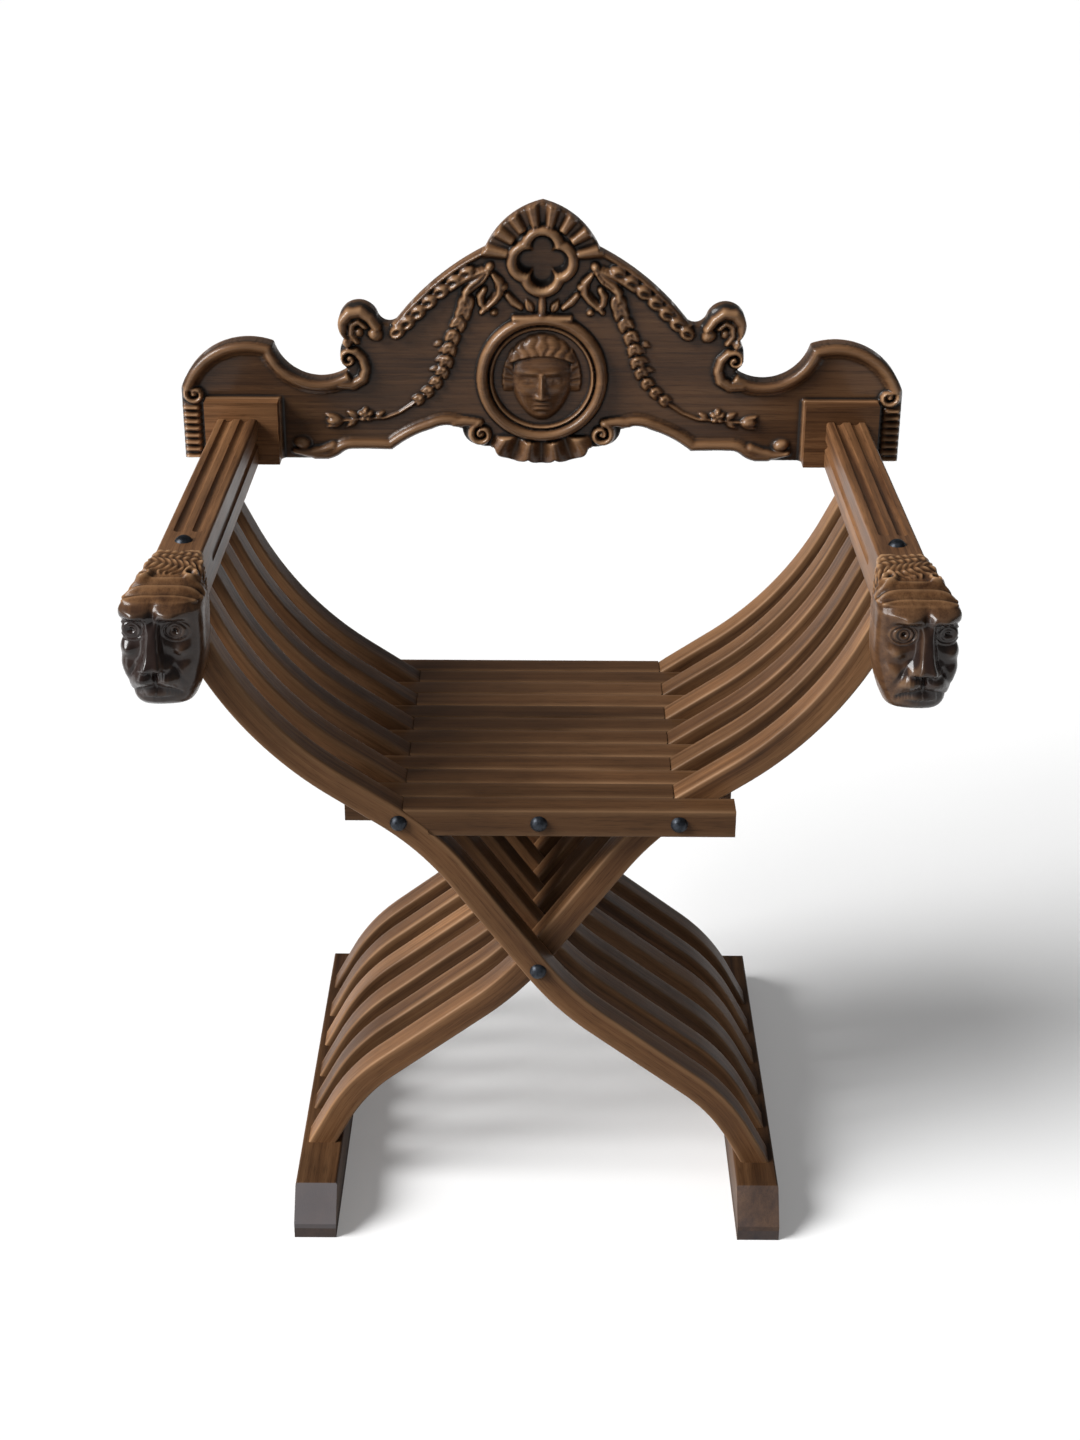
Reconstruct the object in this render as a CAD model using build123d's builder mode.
from build123d import *
import os
from math import acos, cos, degrees, radians, sin, tan

# Savonarola chair: a folding armchair whose two sets of bent staves cross like an X.
# Millimetres, +Z up. The chair faces -Y, its left is at -X, and Z = 0 is the floor.
# Twelve thin layers lie one behind the other. The first, third, fifth ... hold the staves of
# the left arm and the seat slats that hinge on the right. The layers between them hold the
# staves of the right arm and the slats that hinge on the left.

os.makedirs("parts", exist_ok=True)

# ---- layers -----------------------------------------------------------------------------
LAYERS = 12
STAVE_THICKNESS = 28.6          # of a stave or a slat, from front to back
LAYER_GAP = 0.4                 # running gap between one layer and the next

# ---- bent staves ------------------------------------------------------------------------
STAVE_WIDTH = 25.0              # across the bent wood, as seen from the front
STAVE_ARRIS = 2.0               # rounding of the long arrises
PIVOT_HEIGHT = 270.0            # axis of the X
CROSSING_ANGLE = 54.0           # slopes of the three middle runs, from the horizontal
SEAT_RUN_ANGLE = 34.0
LEG_RUN_ANGLE = 37.6
PIVOT_TO_SEAT_KNEE = 174.9
SEAT_RUN_LENGTH = 191.2
PIVOT_TO_LEG_KNEE = 43.4
LEG_RUN_LENGTH = 197.5
ARM_KNEE_RADIUS = 340.0
SEAT_KNEE_RADIUS = 270.0
LEG_KNEE_RADIUS = 295.0
FOOT_KNEE_RADIUS = 180.0

# ---- tenons at the ends of the staves ---------------------------------------------------
TENON_WIDTH = 16.0
TENON_THICKNESS = 20.0
TENON_LENGTH = 22.0
GLUE_GAP = 0.1                  # between a glued tenon, dowel or stud and its socket

# ---- rods, nuts and studs ---------------------------------------------------------------
ROD_DIAMETER = 9.0
ROD_FIT = 0.05                  # radial running fit of a rod in a stave or slat
ROD_HEAD_DIAMETER = 16.0
ROD_HEAD_HEIGHT = 6.0
NUT_WIDTH = 17.0                # across the flats
NUT_HEIGHT = 7.0
HEAD_CLEARANCE = 0.3            # between a head or nut and the wood that turns under it
ROD_FROM_SEAT_KNEE = 33.0       # place of a seat rod on the seat run of its staves

# ---- seat slats -------------------------------------------------------------------------
SLAT_DEPTH = 27.0               # from top to underside
SLAT_OVERHANG = 52.3            # past the rod that the slat hinges on
SLAT_ARRIS = 2.0
MITRE_CLEARANCE = 0.35          # between the mitred end and the stave that it rests on

# ---- arm rests --------------------------------------------------------------------------
ARM_CENTRE = 320.0              # from the middle of the chair
ARM_UNDERSIDE = 638.0
ARM_WIDTH = 42.0
ARM_DEPTH = 50.0
ARM_ARRIS = 3.0
ARM_BEHIND_LAST_STAVE = 66.3    # overhang at the rear
FLUTE_RADIUS = 5.5
FLUTE_SINK = 3.0                # depth of a flute
FLUTE_SPACING = 17.0            # between the two flutes of the top
FLUTE_START = 27.0              # behind the stud

# ---- studs and dowels -------------------------------------------------------------------
STUD_HEAD_DIAMETER = 16.0
STUD_HEAD_HEIGHT = 5.0
STUD_SHANK_DIAMETER = 5.0
STUD_SHANK_LENGTH = 20.0
STUD_SETBACK = 38.0             # behind the middle of the first layer
DOWEL_DIAMETER = 10.0
DOWEL_LENGTH = 44.0
DOWEL_SPACING = 20.0
DOWEL_DROP = 14.0               # below the top of the arm, clear of the first tenon

# ---- lion heads -------------------------------------------------------------------------
HEAD_OFFSET = 10.0              # of the face, outward from the middle of the arm
HEAD_WIDTH = 78.0               # across the brow
HEAD_HEIGHT = 117.0
HEAD_CROWN = 2.0                # above the arm
HEAD_LAP = 25.0                 # length of the cheeks that fork over the arm
HEAD_REACH = 76.0               # from the front of the arm to the tip of the nose
CHIN_WIDTH = 36.0
CHEEK_WIDTH = 72.0              # at the height of the nose
BROW_DROP = 30.0                # middle of the brow ridge below the top of the head
BROW_HEIGHT = 17.0
BROW_RELIEF = 8.0               # how far it stands out from the face
EYE_DROP = 49.0                 # below the top of the head
EYE_SPACING = 38.0
EYE_RADIUS = 6.0
SOCKET_RADIUS = 8.5
NOSE_WIDTH = 17.0
NOSE_RELIEF = 16.0
NOSE_TOP_DROP = 38.0
NOSE_TIP_DROP = 80.0
MUZZLE_WIDTH = 46.0
MUZZLE_HEIGHT = 27.0
MUZZLE_DROP = 87.0
MUZZLE_RELIEF = 10.0
JAW_WIDTH = 34.0
JAW_HEIGHT = 13.0
JAW_RELIEF = 6.0
EAR_RADIUS = 8.0
EAR_SPACING = 54.0
EAR_SETBACK = 26.0              # ahead of the front of the arm
EAR_DROP = 10.0

# ---- runners and soles ------------------------------------------------------------------
RUNNER_CENTRE = 218.0
RUNNER_WIDTH = 41.0
RUNNER_TOP = 47.0
RUNNER_ARRIS = 2.5
RUNNER_AHEAD = 50.0             # top face, past the middle of the first and last layer
RUNNER_BEHIND = 61.0
TOE_SLOPE = 26.0                # how much longer the runner is at its foot
TOE_HEIGHT = 5.0                # upright part of the toe above the sole
SOLE_HEIGHT = 11.0

# ---- back -------------------------------------------------------------------------------
BACK_GAP = 0.4                  # between the arm ends and the blocks
BLOCK_WIDTH = 77.0
BLOCK_HEIGHT = 67.0
BLOCK_THICKNESS = 17.0
BLOCK_OVERHANG = 13.0           # past the outer side of the arm
BOARD_OVERHANG = 26.0           # of the board past the outer side of the block
BOARD_HEIGHT = 273.0
BOARD_THICKNESS = 22.0
BOARD_DROP = 4.0                # the pendant in the middle of the lower edge
RIM_WIDTH = 9.0
RIM_HEIGHT = 5.0
MEDALLION_HEIGHT = 95.0         # centre above the lower edge
MEDALLION_RADIUS = 70.0
MEDALLION_RING = 11.0
BUST_RADIUS = 38.0
BUST_RELIEF = 11.0
QUATREFOIL_DROP = 61.0          # its centre below the top of the crest
QUATREFOIL_LOBE = 19.0

# ---- worked out from the sizes above ----------------------------------------------------
BLOCK_OUTER = ARM_CENTRE + ARM_WIDTH / 2 + BLOCK_OVERHANG
BOARD_WIDTH = 2 * (BLOCK_OUTER + BOARD_OVERHANG)
PITCH = STAVE_THICKNESS + LAYER_GAP
STACK = (LAYERS - 1) * PITCH
ARM_LENGTH_AHEAD = STAVE_THICKNESS / 2 + LAYER_GAP
BOARD_FACE = STACK + STAVE_THICKNESS / 2 + ARM_BEHIND_LAST_STAVE + BACK_GAP + BLOCK_THICKNESS
FRONT_REACH = ARM_LENGTH_AHEAD + HEAD_REACH
REAR_REACH = BOARD_FACE + BOARD_THICKNESS
FIRST_LAYER = (FRONT_REACH - REAR_REACH) / 2        # the chair's box is centred on Y = 0
LAST_LAYER = FIRST_LAYER + STACK
ARM_TOP = ARM_UNDERSIDE + ARM_DEPTH
ARM_FRONT = FIRST_LAYER - ARM_LENGTH_AHEAD
ARM_REAR = LAST_LAYER + STAVE_THICKNESS / 2 + ARM_BEHIND_LAST_STAVE
STUD_Y = FIRST_LAYER + STUD_SETBACK
LEFT, RIGHT = -1, 1


def layer_y(layer):
    """Middle of a layer, counted from 0 at the front."""
    return FIRST_LAYER + layer * PITCH


def upright(y):
    """Plane across the chair at y, drawn on in X and Z as seen from the front."""
    return Plane.XZ.offset(-y)


def along(angle, length, start):
    """Point at a length from start, down to the right at an angle below the horizontal."""
    return (start[0] + length * cos(radians(angle)), start[1] - length * sin(radians(angle)))


# Centreline of a stave of the left arm, as corner points in X and Z before they are rounded.
pivot = (0.0, PIVOT_HEIGHT)
seat_knee = along(CROSSING_ANGLE, -PIVOT_TO_SEAT_KNEE, pivot)
arm_knee = along(SEAT_RUN_ANGLE, -SEAT_RUN_LENGTH, seat_knee)
leg_knee = along(CROSSING_ANGLE, PIVOT_TO_LEG_KNEE, pivot)
foot_knee = along(LEG_RUN_ANGLE, LEG_RUN_LENGTH, leg_knee)
seat_rod = along(SEAT_RUN_ANGLE, -ROD_FROM_SEAT_KNEE, seat_knee)
ROD_OFFSET = -seat_rod[0]
ROD_HEIGHT = seat_rod[1]


def run_through(inner, outer, height):
    """Point of the line from inner to outer at a height past its outer end."""
    share = (height - inner[1]) / (outer[1] - inner[1])
    return (inner[0] + share * (outer[0] - inner[0]), height)


arm_end = run_through(arm_knee, (-ARM_CENTRE, ARM_UNDERSIDE), ARM_UNDERSIDE + TENON_LENGTH)
foot_end = run_through(foot_knee, (RUNNER_CENTRE, RUNNER_TOP), RUNNER_TOP - TENON_LENGTH)

# The bent wood steepens below the seat rod. A slat's mitred end lies along the outer edge of
# that bend, at the height of the slat.
bend = radians(CROSSING_ANGLE - SEAT_RUN_ANGLE)
bend_start = along(SEAT_RUN_ANGLE, -SEAT_KNEE_RADIUS * tan(bend / 2), seat_knee)
bend_centre_x = bend_start[0] - SEAT_KNEE_RADIUS * sin(radians(SEAT_RUN_ANGLE))
bend_centre_z = bend_start[1] - SEAT_KNEE_RADIUS * cos(radians(SEAT_RUN_ANGLE))
edge_radius = SEAT_KNEE_RADIUS + STAVE_WIDTH / 2 + MITRE_CLEARANCE
MITRE = acos((ROD_HEIGHT - bend_centre_z) / edge_radius)
MITRE_X = bend_centre_x + edge_radius * sin(MITRE)


def hole(x, z, y, diameter):
    """Bore through one layer, front to back."""
    with BuildSketch(upright(y)) as bore:
        with Locations((x, z)):
            Circle(diameter / 2)
    extrude(bore.sketch, amount=STAVE_THICKNESS, both=True, mode=Mode.SUBTRACT)


def finish(part, name):
    """Name a finished piece and write it."""
    part.label = name
    export_step(part, f"parts/{name}.step")


# ---- staves -----------------------------------------------------------------------------
def make_stave(side, layer, name):
    """One bent stave with a tenon at each end and bores for the pivot and its seat rod."""
    y = layer_y(layer)
    mirror_x = -side
    corners = [arm_end, arm_knee, seat_knee, leg_knee, foot_knee, foot_end]
    points = [(mirror_x * x, z) for x, z in corners]
    radii = [ARM_KNEE_RADIUS, SEAT_KNEE_RADIUS, LEG_KNEE_RADIUS, FOOT_KNEE_RADIUS]
    with BuildPart() as stave:
        with BuildSketch(upright(y)):
            with BuildLine():
                FilletPolyline(*points, radius=radii)
                offset(amount=STAVE_WIDTH / 2, side=Side.BOTH, closed=True, mode=Mode.REPLACE)
            make_face()
        extrude(amount=STAVE_THICKNESS / 2, both=True)
        front, *_, rear = stave.faces().sort_by(Axis.Y)
        fillet(front.edges() + rear.edges(), STAVE_ARRIS)
        split(bisect_by=Plane.XY.offset(ARM_UNDERSIDE), keep=Keep.BOTTOM)
        split(bisect_by=Plane.XY.offset(RUNNER_TOP), keep=Keep.TOP)
        with BuildSketch(Plane.XY.offset(ARM_UNDERSIDE)):
            with Locations((side * ARM_CENTRE, y)):
                Rectangle(TENON_WIDTH, TENON_THICKNESS)
        extrude(amount=TENON_LENGTH)
        with BuildSketch(Plane.XY.offset(RUNNER_TOP)):
            with Locations((-side * RUNNER_CENTRE, y)):
                Rectangle(TENON_WIDTH, TENON_THICKNESS)
        extrude(amount=-TENON_LENGTH)
        hole(0, PIVOT_HEIGHT, y, ROD_DIAMETER + 2 * ROD_FIT)
        hole(side * ROD_OFFSET, ROD_HEIGHT, y, ROD_DIAMETER + 2 * ROD_FIT)
    finish(stave.part, name)


# ---- seat slats -------------------------------------------------------------------------
def make_slat(side, layer, name):
    """A seat slat that hinges on the rod of its side and rests on the far staves."""
    y = layer_y(layer)
    half = SLAT_DEPTH / 2
    mitre_run = half / tan(MITRE)
    free_end = ROD_OFFSET + SLAT_OVERHANG
    with BuildPart() as slat:
        with BuildSketch(upright(y)):
            with BuildLine():
                Polyline(
                    (side * (MITRE_X - mitre_run), ROD_HEIGHT + half),
                    (side * (MITRE_X + mitre_run), ROD_HEIGHT - half),
                    (side * free_end, ROD_HEIGHT - half),
                    (side * free_end, ROD_HEIGHT + half),
                    close=True,
                )
            make_face()
        extrude(amount=STAVE_THICKNESS / 2, both=True)
        fillet(slat.edges().filter_by(Axis.X), SLAT_ARRIS)
        hole(side * ROD_OFFSET, ROD_HEIGHT, y, ROD_DIAMETER + 2 * ROD_FIT)
        hole(0, ROD_HEIGHT, y, ROD_DIAMETER + 2 * ROD_FIT)
    finish(slat.part, name)


# ---- rods, heads and nuts ---------------------------------------------------------------
def dome(seat, diameter, height):
    """Low domed head on a seat plane whose origin is the middle of the head."""
    with BuildSketch(Plane(seat.origin, x_dir=seat.x_dir, z_dir=seat.y_dir)) as cap:
        with BuildLine():
            Line((0, 0), (diameter / 2, 0))
            TangentArc((0, -height), (diameter / 2, 0), tangent=(1, 0))
            Line((0, -height), (0, 0))
        make_face()
    revolve(cap.sketch, axis=Axis(seat.origin, seat.z_dir))


def nut(x, z, y):
    """Hexagon nut behind y, bored for the rod."""
    with BuildSketch(upright(y)) as hexagon:
        with Locations((x, z)):
            RegularPolygon(NUT_WIDTH / 2, 6, major_radius=False)
            Circle(ROD_DIAMETER / 2 + ROD_FIT, mode=Mode.SUBTRACT)
    extrude(hexagon.sketch, amount=-NUT_HEIGHT)


def make_rod(x, z, first, last, rod_name, nut_name):
    """Rod through the layers first to last, with a domed head in front and a nut behind."""
    front = layer_y(first) - STAVE_THICKNESS / 2 - HEAD_CLEARANCE
    back = layer_y(last) + STAVE_THICKNESS / 2 + HEAD_CLEARANCE
    with BuildPart() as rod:
        with BuildSketch(upright(front)):
            with Locations((x, z)):
                Circle(ROD_DIAMETER / 2)
        extrude(amount=front - back - NUT_HEIGHT)
        dome(Plane((x, front, z), z_dir=(0, -1, 0)), ROD_HEAD_DIAMETER, ROD_HEAD_HEIGHT)
    finish(rod.part, rod_name)
    with BuildPart() as rod_nut:
        nut(x, z, back)
    finish(rod_nut.part, nut_name)


def make_slat_pins(layers, name):
    """The centre rod of the seat, as one length inside each slat of one set."""
    with BuildPart() as pins:
        for layer in layers:
            with BuildSketch(upright(layer_y(layer))):
                with Locations((0, ROD_HEIGHT)):
                    Circle(ROD_DIAMETER / 2)
            extrude(amount=STAVE_THICKNESS / 2, both=True)
    finish(pins.part, name)


# ---- arm rests --------------------------------------------------------------------------
def dowel_places(side):
    """Places of the two dowels between an arm and its lion head, in X and Z."""
    height = ARM_TOP - DOWEL_DROP
    first, second = side * ARM_CENTRE - DOWEL_SPACING / 2, side * ARM_CENTRE + DOWEL_SPACING / 2
    return Locations((first, height), (second, height))


def flute(x, z):
    """Hollow flute along the arm, with a round end behind the stud."""
    start = STUD_Y + FLUTE_START
    with BuildSketch(upright(start)) as hollow:
        with Locations((x, z)):
            Circle(FLUTE_RADIUS)
    extrude(hollow.sketch, amount=start - ARM_REAR, mode=Mode.SUBTRACT)
    with Locations((x, start, z)):
        Sphere(FLUTE_RADIUS, mode=Mode.SUBTRACT)


def make_arm(side, layers, name):
    """Fluted arm rest, mortised on its underside for the staves of its side."""
    lift = FLUTE_RADIUS - FLUTE_SINK
    inner_face = ARM_CENTRE - ARM_WIDTH / 2
    with BuildPart() as arm:
        with BuildSketch(upright(ARM_FRONT)):
            with Locations((side * ARM_CENTRE, ARM_UNDERSIDE + ARM_DEPTH / 2)):
                RectangleRounded(ARM_WIDTH, ARM_DEPTH, ARM_ARRIS)
        extrude(amount=ARM_FRONT - ARM_REAR)
        for shift in (-FLUTE_SPACING / 2, FLUTE_SPACING / 2):
            flute(side * ARM_CENTRE + shift, ARM_TOP + lift)
        flute(side * (inner_face - lift), ARM_UNDERSIDE + ARM_DEPTH / 2)
        with BuildSketch(Plane.XY.offset(ARM_UNDERSIDE)):
            with Locations(*[(side * ARM_CENTRE, layer_y(layer)) for layer in layers]):
                Rectangle(TENON_WIDTH + 2 * GLUE_GAP, TENON_THICKNESS + 2 * GLUE_GAP)
        extrude(amount=TENON_LENGTH + GLUE_GAP, mode=Mode.SUBTRACT)
        with BuildSketch(Plane.XY.offset(ARM_TOP)):
            with Locations((side * ARM_CENTRE, STUD_Y)):
                Circle(STUD_SHANK_DIAMETER / 2 + GLUE_GAP)
        extrude(amount=-STUD_SHANK_LENGTH - GLUE_GAP, mode=Mode.SUBTRACT)
        with BuildSketch(upright(ARM_FRONT)):
            with dowel_places(side):
                Circle(DOWEL_DIAMETER / 2 + GLUE_GAP)
        extrude(amount=-DOWEL_LENGTH / 2 - GLUE_GAP, mode=Mode.SUBTRACT)
    finish(arm.part, name)


def make_stud(side, name):
    """Domed stud in the top of the arm."""
    with BuildPart() as stud:
        dome(Plane((side * ARM_CENTRE, STUD_Y, ARM_TOP)), STUD_HEAD_DIAMETER, STUD_HEAD_HEIGHT)
        with BuildSketch(Plane.XY.offset(ARM_TOP)):
            with Locations((side * ARM_CENTRE, STUD_Y)):
                Circle(STUD_SHANK_DIAMETER / 2)
        extrude(amount=-STUD_SHANK_LENGTH)
    finish(stud.part, name)


def make_dowels(side, name):
    """Two dowels that pin a lion head to the front end of its arm."""
    with BuildPart() as dowels:
        with BuildSketch(upright(ARM_FRONT)):
            with dowel_places(side):
                Circle(DOWEL_DIAMETER / 2)
        extrude(amount=DOWEL_LENGTH / 2, both=True)
    finish(dowels.part, name)


# ---- lion heads -------------------------------------------------------------------------
def head_section(y, x, top, widen, foot=0.0):
    """Face of the head's outline at y: wide at the brow, narrowing to a flat chin."""
    chin = ARM_TOP + HEAD_CROWN - HEAD_HEIGHT + foot
    tall = top - chin
    brow = HEAD_WIDTH / 2 * widen
    cheek = CHEEK_WIDTH / 2 * widen
    jaw = CHIN_WIDTH / 2 * widen
    outline = [
        (x - brow * 0.6, top),
        (x + brow * 0.6, top),
        (x + brow, top - tall * 0.2),
        (x + brow, top - tall * 0.5),
        (x + cheek * 0.93, top - tall * 0.74),
        (x + jaw, chin),
        (x - jaw, chin),
        (x - cheek * 0.93, top - tall * 0.74),
        (x - brow, top - tall * 0.5),
        (x - brow, top - tall * 0.2),
    ]
    with BuildSketch(upright(y)) as section:
        Polygon(*outline, align=None)
        fillet(section.vertices(), 7)
    return section.sketch


def make_lion_head(side, name):
    """Carved head that forks over the arm: sloping crown, brow, sunk eyes, nose, muzzle, jaw."""
    x = side * (ARM_CENTRE + HEAD_OFFSET)
    top = ARM_TOP + HEAD_CROWN
    face = ARM_FRONT - HEAD_REACH + NOSE_RELIEF
    with BuildPart() as head:
        # The head grows out of the arm's end and swings a little outward to the face.
        add(head_section(ARM_FRONT + HEAD_LAP, side * ARM_CENTRE, top, 0.64))
        add(head_section(ARM_FRONT - 8, side * (ARM_CENTRE + HEAD_OFFSET * 0.4), top, 0.84))
        add(head_section(face + 22, side * (ARM_CENTRE + HEAD_OFFSET * 0.9), top - 8, 0.98))
        add(head_section(face, x, top - 20, 0.9, 4))
        loft()
        # Brow ridge, and the eyes in their sockets under it.
        with BuildSketch(upright(face + 3)):
            with Locations((x, top - BROW_DROP)):
                RectangleRounded(HEAD_WIDTH * 0.84, BROW_HEIGHT, BROW_HEIGHT * 0.45)
        extrude(amount=BROW_RELIEF + 3, taper=22)
        eyes = [(x + hand * EYE_SPACING / 2, face, top - EYE_DROP) for hand in (-1, 1)]
        with Locations(*eyes):
            Sphere(SOCKET_RADIUS, mode=Mode.SUBTRACT)
        with Locations(*[(u, v + SOCKET_RADIUS - EYE_RADIUS / 2, w) for u, v, w in eyes]):
            Sphere(EYE_RADIUS)
        # Nose from between the brows down to its tip, the muzzle on both sides, and the jaw.
        with BuildSketch(Plane.YZ.offset(x - NOSE_WIDTH / 2)):
            Polygon(
                (face + 4, top - NOSE_TOP_DROP + 8),
                (face - BROW_RELIEF, top - NOSE_TOP_DROP),
                (face - NOSE_RELIEF, top - NOSE_TIP_DROP + 6),
                (face - NOSE_RELIEF + 2, top - NOSE_TIP_DROP),
                (face + 4, top - NOSE_TIP_DROP - 4),
                align=None,
            )
        extrude(amount=NOSE_WIDTH)
        with BuildSketch(upright(face + 3)):
            with Locations((x, top - MUZZLE_DROP)):
                RectangleRounded(MUZZLE_WIDTH, MUZZLE_HEIGHT, MUZZLE_HEIGHT * 0.4)
        extrude(amount=MUZZLE_RELIEF + 3, taper=20)
        with BuildSketch(upright(face + 3)):
            with Locations((x, top - HEAD_HEIGHT + 4 + JAW_HEIGHT / 2)):
                RectangleRounded(JAW_WIDTH, JAW_HEIGHT, JAW_HEIGHT * 0.4)
        extrude(amount=JAW_RELIEF + 3, taper=15)
        for hand in (-1, 1):
            with Locations((x + hand * EAR_SPACING / 2, ARM_FRONT - EAR_SETBACK, top - EAR_DROP)):
                Sphere(EAR_RADIUS)
        # The fork: the arm's front end lies between the cheeks, with the staves free below it.
        with BuildSketch(upright(ARM_FRONT - GLUE_GAP)):
            with Locations((side * ARM_CENTRE, ARM_UNDERSIDE)):
                Rectangle(ARM_WIDTH + 2 * GLUE_GAP, HEAD_HEIGHT, align=(Align.CENTER, Align.MIN))
            with Locations((x, ARM_UNDERSIDE)):
                Rectangle(2 * HEAD_WIDTH, HEAD_HEIGHT, align=(Align.CENTER, Align.MAX))
        extrude(amount=-2 * HEAD_LAP, mode=Mode.SUBTRACT)
        with BuildSketch(upright(ARM_FRONT - GLUE_GAP)):
            with dowel_places(side):
                Circle(DOWEL_DIAMETER / 2 + GLUE_GAP)
        extrude(amount=DOWEL_LENGTH / 2 + GLUE_GAP, mode=Mode.SUBTRACT)
    finish(head.part, name)


# ---- runners and soles ------------------------------------------------------------------
def make_runner(side, layers, name):
    """Foot of the far staves: a bar with sloped toes, mortised on top."""
    front = FIRST_LAYER - RUNNER_AHEAD
    rear = LAST_LAYER + RUNNER_BEHIND
    inner_plane = Plane.YZ.offset(side * RUNNER_CENTRE - RUNNER_WIDTH / 2)
    with BuildPart() as runner:
        with BuildSketch(inner_plane):
            with BuildLine():
                Polyline(
                    (front, RUNNER_TOP),
                    (rear, RUNNER_TOP),
                    (rear + TOE_SLOPE, SOLE_HEIGHT + TOE_HEIGHT),
                    (rear + TOE_SLOPE, SOLE_HEIGHT),
                    (front - TOE_SLOPE, SOLE_HEIGHT),
                    (front - TOE_SLOPE, SOLE_HEIGHT + TOE_HEIGHT),
                    close=True,
                )
            make_face()
        extrude(amount=RUNNER_WIDTH)
        top_edges = runner.faces().sort_by(Axis.Z)[-1].edges()
        fillet(top_edges, RUNNER_ARRIS)
        with BuildSketch(Plane.XY.offset(RUNNER_TOP)):
            with Locations(*[(side * RUNNER_CENTRE, layer_y(layer)) for layer in layers]):
                Rectangle(TENON_WIDTH + 2 * GLUE_GAP, TENON_THICKNESS + 2 * GLUE_GAP)
        extrude(amount=-TENON_LENGTH - GLUE_GAP, mode=Mode.SUBTRACT)
    finish(runner.part, name)


def make_sole(side, name):
    """Dark strip glued under the runner."""
    front = FIRST_LAYER - RUNNER_AHEAD - TOE_SLOPE
    rear = LAST_LAYER + RUNNER_BEHIND + TOE_SLOPE
    with BuildPart() as sole:
        with BuildSketch(Plane.XY):
            with Locations((side * RUNNER_CENTRE, (front + rear) / 2)):
                Rectangle(RUNNER_WIDTH, rear - front)
        extrude(amount=SOLE_HEIGHT)
    finish(sole.part, name)


# ---- back -------------------------------------------------------------------------------
def board_outline(y):
    """Face of the shaped outline at y: its left half, from crest to pendant, and the mirror."""
    end = -BOARD_WIDTH / 2
    top = ARM_UNDERSIDE + BOARD_HEIGHT
    bottom = ARM_UNDERSIDE
    with BuildSketch(upright(y)) as shape:
        with BuildLine():
            # Crest over the quatrefoil, and the long shoulder below it.
            ThreePointArc((0, top), (-36, top - 18), (-59, top - 48))
            ThreePointArc((-59, top - 48), (-106, top - 78), (-152, top - 124))
            # Scrolled ear, with a smaller curl under it.
            ThreePointArc((-152, top - 124), (-163, top - 126), (-172, top - 117))
            ThreePointArc((-172, top - 117), (-204, top - 109), (-205, top - 141))
            ThreePointArc((-205, top - 141), (-211, top - 158), (-203, top - 176))
            # Valley, then the rounded end of the board.
            ThreePointArc((-203, top - 176), (end + 137, top - 185), (end + 98, bottom + 124))
            ThreePointArc((end + 98, bottom + 124), (end + 32, bottom + 117), (end, bottom + 76))
            Line((end, bottom + 76), (end, bottom))
            # Lower edge: level behind the arm, a step, a rise to the volute, and the shell.
            Line((end, bottom), (-228, bottom))
            ThreePointArc((-228, bottom), (-221, bottom + 2), (-214, bottom + 6))
            ThreePointArc((-214, bottom + 6), (-208, bottom + 10), (-201, bottom + 11.5))
            Line((-201, bottom + 11.5), (-159, bottom + 11))
            ThreePointArc((-159, bottom + 11), (-140, bottom + 24), (-116, bottom + 34))
            ThreePointArc((-116, bottom + 34), (-99, bottom + 38), (-84, bottom + 34))
            ThreePointArc((-84, bottom + 34), (-79, bottom + 22), (-66, bottom + 15.5))
            ThreePointArc((-66, bottom + 15.5), (-58, bottom + 14), (-50, bottom + 15))
            ThreePointArc((-50, bottom + 15), (-46, bottom + 7), (-40, bottom + 3))
            ThreePointArc((-40, bottom + 3), (-20, bottom - 2.5), (0, bottom - BOARD_DROP))
            mirror(about=Plane.YZ)
        make_face()
    return shape.sketch


def make_board():
    """Carved back board: shaped plate with a raised medallion, quatrefoil, rim and scrolls."""
    face = FIRST_LAYER + BOARD_FACE
    medallion = (0, ARM_UNDERSIDE + MEDALLION_HEIGHT)
    quatrefoil = (0, ARM_UNDERSIDE + BOARD_HEIGHT - QUATREFOIL_DROP)
    with BuildPart() as board:
        extrude(board_outline(face), amount=-BOARD_THICKNESS)
        with BuildSketch(upright(face)):
            add(board_outline(face))
            offset(amount=-RIM_WIDTH, mode=Mode.REPLACE)
        extrude(amount=-RIM_HEIGHT, mode=Mode.SUBTRACT)
        with BuildSketch(upright(face + RIM_HEIGHT)):
            with Locations(medallion):
                Circle(MEDALLION_RADIUS)
                Circle(MEDALLION_RADIUS - MEDALLION_RING, mode=Mode.SUBTRACT)
                Circle(BUST_RADIUS)
            with Locations(quatrefoil):
                with PolarLocations(QUATREFOIL_LOBE, 4):
                    Circle(QUATREFOIL_LOBE)
                with PolarLocations(QUATREFOIL_LOBE, 4):
                    Circle(QUATREFOIL_LOBE / 2, mode=Mode.SUBTRACT)
        extrude(amount=BUST_RELIEF)
    finish(board.part, "back_board")


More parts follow.
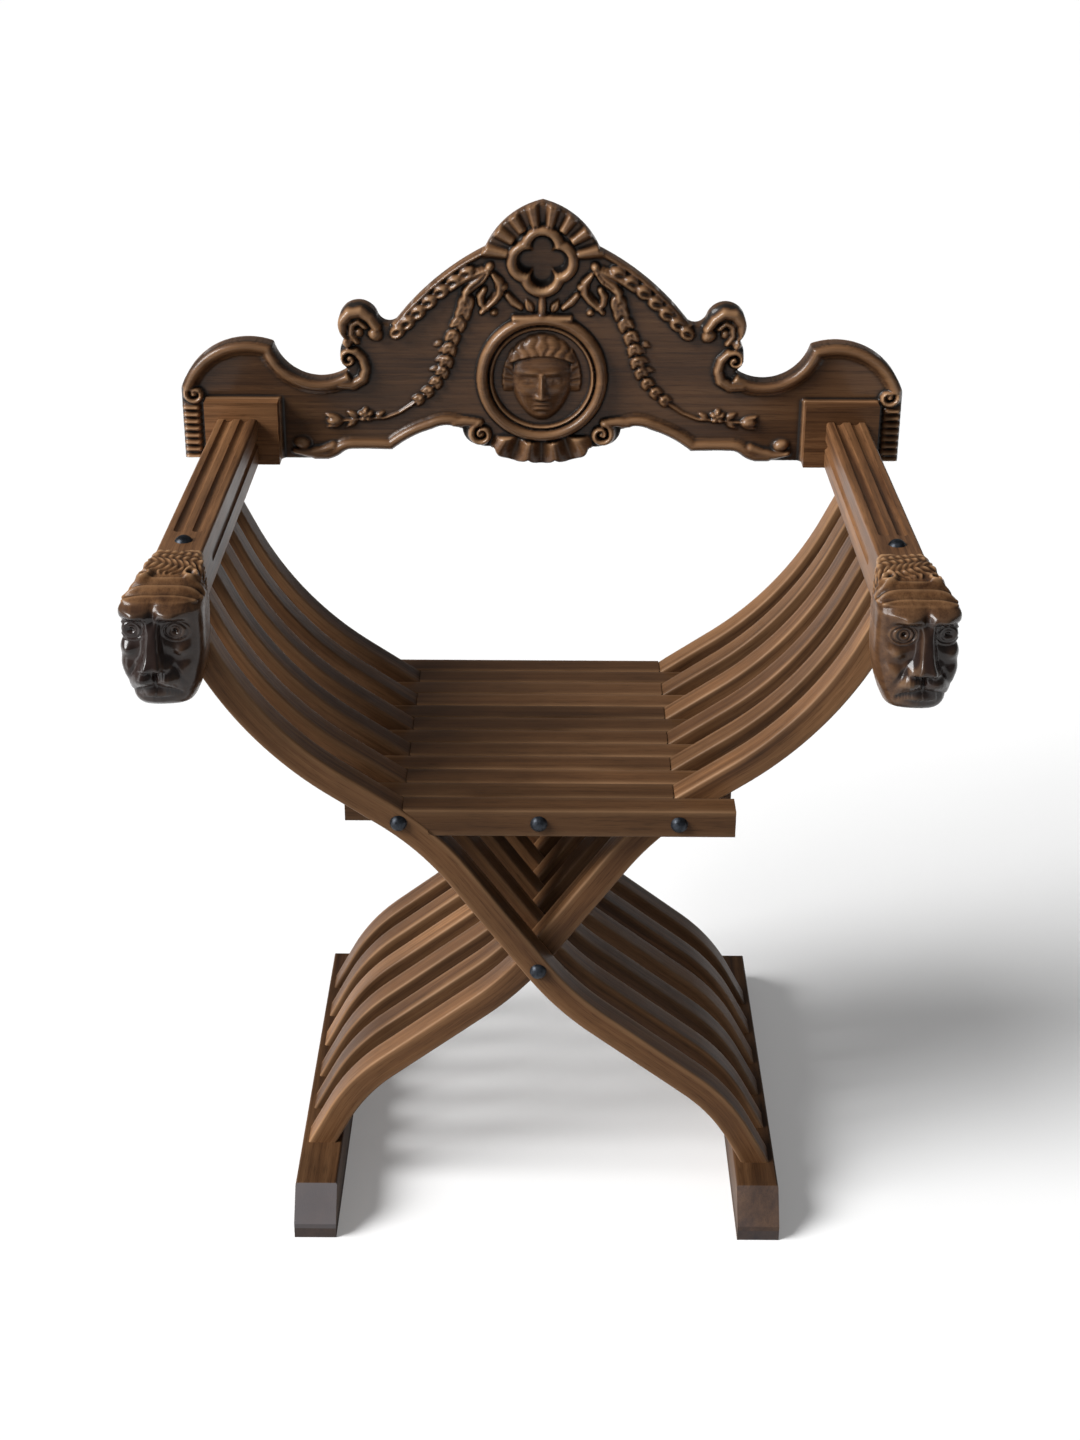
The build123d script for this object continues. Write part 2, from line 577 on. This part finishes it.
def make_back_block(side, name):
    """Block between the arm's rear end and the board."""
    with BuildPart() as block:
        with BuildSketch(upright(FIRST_LAYER + BOARD_FACE - BLOCK_THICKNESS)):
            with Locations((side * (BLOCK_OUTER - BLOCK_WIDTH / 2), ARM_UNDERSIDE + BLOCK_HEIGHT / 2)):
                Rectangle(BLOCK_WIDTH, BLOCK_HEIGHT)
        extrude(amount=-BLOCK_THICKNESS)
    finish(block.part, name)


# ---- the chair --------------------------------------------------------------------------
left_layers = range(0, LAYERS, 2)
right_layers = range(1, LAYERS, 2)

for count, layer in enumerate(left_layers, start=1):
    make_stave(LEFT, layer, f"left_stave_{count}")
    make_slat(RIGHT, layer, f"right_slat_{count}")
for count, layer in enumerate(right_layers, start=1):
    make_stave(RIGHT, layer, f"right_stave_{count}")
    make_slat(LEFT, layer, f"left_slat_{count}")

make_rod(0, PIVOT_HEIGHT, 0, LAYERS - 1, "pivot_rod", "pivot_nut")
make_rod(-ROD_OFFSET, ROD_HEIGHT, 0, LAYERS - 1, "left_seat_rod", "left_rod_nut")
make_rod(ROD_OFFSET, ROD_HEIGHT, 0, LAYERS - 1, "right_seat_rod", "right_rod_nut")
make_slat_pins(left_layers, "right_slat_pins")
make_slat_pins(right_layers, "left_slat_pins")

with BuildPart() as centre_head:
    slat_face = FIRST_LAYER - STAVE_THICKNESS / 2
    dome(Plane((0, slat_face, ROD_HEIGHT), z_dir=(0, -1, 0)), ROD_HEAD_DIAMETER, ROD_HEAD_HEIGHT)
finish(centre_head.part, "centre_rod_head")

with BuildPart() as centre_nut:
    nut(0, ROD_HEIGHT, LAST_LAYER + STAVE_THICKNESS / 2)
finish(centre_nut.part, "centre_rod_nut")

make_arm(LEFT, left_layers, "left_arm")
make_arm(RIGHT, right_layers, "right_arm")
make_runner(RIGHT, left_layers, "right_runner")
make_runner(LEFT, right_layers, "left_runner")
for side, word in ((LEFT, "left"), (RIGHT, "right")):
    make_stud(side, f"{word}_arm_stud")
    make_dowels(side, f"{word}_head_dowels")
    make_lion_head(side, f"{word}_lion_head")
    make_sole(side, f"{word}_sole")
    make_back_block(side, f"{word}_back_block")
make_board()

print("seat rods at x", round(ROD_OFFSET, 1), "z", round(ROD_HEIGHT, 1))
print("slat mitre", round(degrees(MITRE), 1), "degrees at x", round(MITRE_X, 1))
print("first layer at y", round(FIRST_LAYER, 2), "arm rear", round(ARM_REAR, 2))
